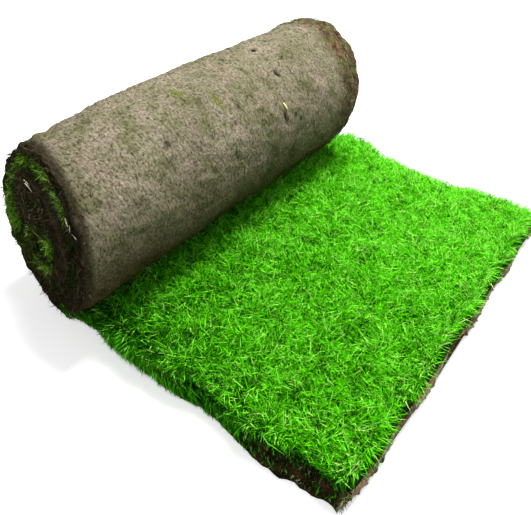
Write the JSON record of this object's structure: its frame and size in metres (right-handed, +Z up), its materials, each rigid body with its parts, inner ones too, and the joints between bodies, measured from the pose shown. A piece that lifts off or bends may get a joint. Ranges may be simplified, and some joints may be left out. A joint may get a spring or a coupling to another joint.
{
  "type": "roll of turf",
  "caption": "Partly unrolled strip of turf: a spiral of root-bound soil and grass with one end laid out flat, grass side up.",
  "frame": {"origin": "middle of the floor under the whole piece, at the bottom centre of its box", "axes": "+X the way the strip unrolls, from the roll towards the flap's cut end; +Y along the roll's axis; +Z up"},
  "size_m": [0.6325, 0.6874, 0.2673],
  "materials": {
    "soil": "matt, fibrous with roots",
    "grass": "soft upright blades"
  },
  "bodies": {
    "root": {"soil_mat": "soil", "grass_sward": "grass"}
  },
  "joints": []
}
